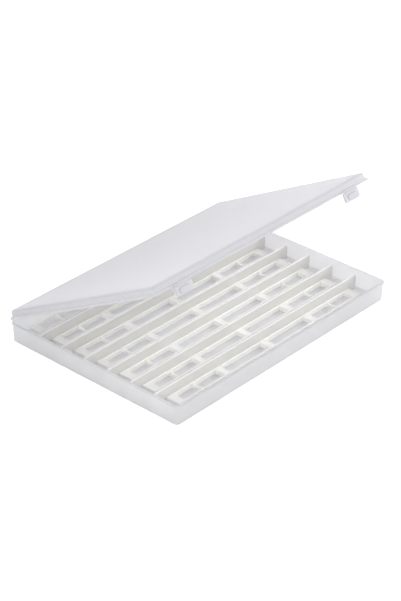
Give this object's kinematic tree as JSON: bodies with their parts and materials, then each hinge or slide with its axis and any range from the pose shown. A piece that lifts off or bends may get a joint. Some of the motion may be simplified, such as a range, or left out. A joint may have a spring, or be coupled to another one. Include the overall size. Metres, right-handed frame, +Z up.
{
  "type": "fishing rig box",
  "caption": "Flat translucent fishing rig box with a hinged lid held ajar, snap latches, dividers and ladder-shaped rig winders lying in its rows.",
  "frame": {"origin": "middle of the tray's flat underside", "axes": "+X along the long side, left to right seen from the latches; +Y from the latches to the hinge; +Z up"},
  "size_m": [0.287, 0.2098, 0.1229],
  "materials": {
    "milky_tray_plastic": "satin, milky and translucent",
    "milky_lid_plastic": "satin, milky and translucent",
    "latch_plastic": "satin, milky and translucent",
    "divider_plastic": "satin, milky",
    "winder_plastic": "matt white, opaque",
    "pin_steel": "bright drawn wire"
  },
  "bodies": {
    "tray": {"base_tray": "milky_tray_plastic", "divider_1": "divider_plastic", "divider_2": "divider_plastic", "divider_3": "divider_plastic", "divider_4": "divider_plastic", "divider_5": "divider_plastic", "divider_6": "divider_plastic", "hinge_pin_left": "pin_steel", "hinge_pin_middle": "pin_steel", "hinge_pin_right": "pin_steel"},
    "lid": {"lid": "milky_lid_plastic"},
    "latch_left": {"latch_left": "latch_plastic"},
    "latch_right": {"latch_right": "latch_plastic"},
    "winder_1": {"winder_1": "winder_plastic"},
    "winder_2": {"winder_2": "winder_plastic"},
    "winder_3": {"winder_3": "winder_plastic"},
    "winder_4": {"winder_4": "winder_plastic"},
    "winder_5": {"winder_5": "winder_plastic"},
    "winder_6": {"winder_6": "winder_plastic"},
    "winder_7": {"winder_7": "winder_plastic"}
  },
  "joints": [
    {"name": "lid_hinge", "type": "hinge", "parent": "tray", "child": "lid", "pos_m": [0, 0.10501, 0.0196], "axis": [-1, 0, 0], "range_deg": [-28.2, 151.8]},
    {"name": "latch_left_hinge", "type": "hinge", "parent": "lid", "child": "latch_left", "pos_m": [-0.1115, -0.07912, 0.11958], "axis": [-1, 0, 0], "range_deg": [0, 60]},
    {"name": "latch_right_hinge", "type": "hinge", "parent": "lid", "child": "latch_right", "pos_m": [0.1115, -0.07912, 0.11958], "axis": [-1, 0, 0], "range_deg": [0, 60]},
    {"name": "winder_1_lift", "type": "slide", "parent": "tray", "child": "winder_1", "axis": [0, 0, 1], "range_m": [0, 0.0185]},
    {"name": "winder_2_lift", "type": "slide", "parent": "tray", "child": "winder_2", "axis": [0, 0, 1], "range_m": [0, 0.0185]},
    {"name": "winder_3_lift", "type": "slide", "parent": "tray", "child": "winder_3", "axis": [0, 0, 1], "range_m": [0, 0.0185]},
    {"name": "winder_4_lift", "type": "slide", "parent": "tray", "child": "winder_4", "axis": [0, 0, 1], "range_m": [0, 0.0185]},
    {"name": "winder_5_lift", "type": "slide", "parent": "tray", "child": "winder_5", "axis": [0, 0, 1], "range_m": [0, 0.0185]},
    {"name": "winder_6_lift", "type": "slide", "parent": "tray", "child": "winder_6", "axis": [0, 0, 1], "range_m": [0, 0.0185]},
    {"name": "winder_7_lift", "type": "slide", "parent": "tray", "child": "winder_7", "axis": [0, 0, 1], "range_m": [0, 0.0185]}
  ]
}
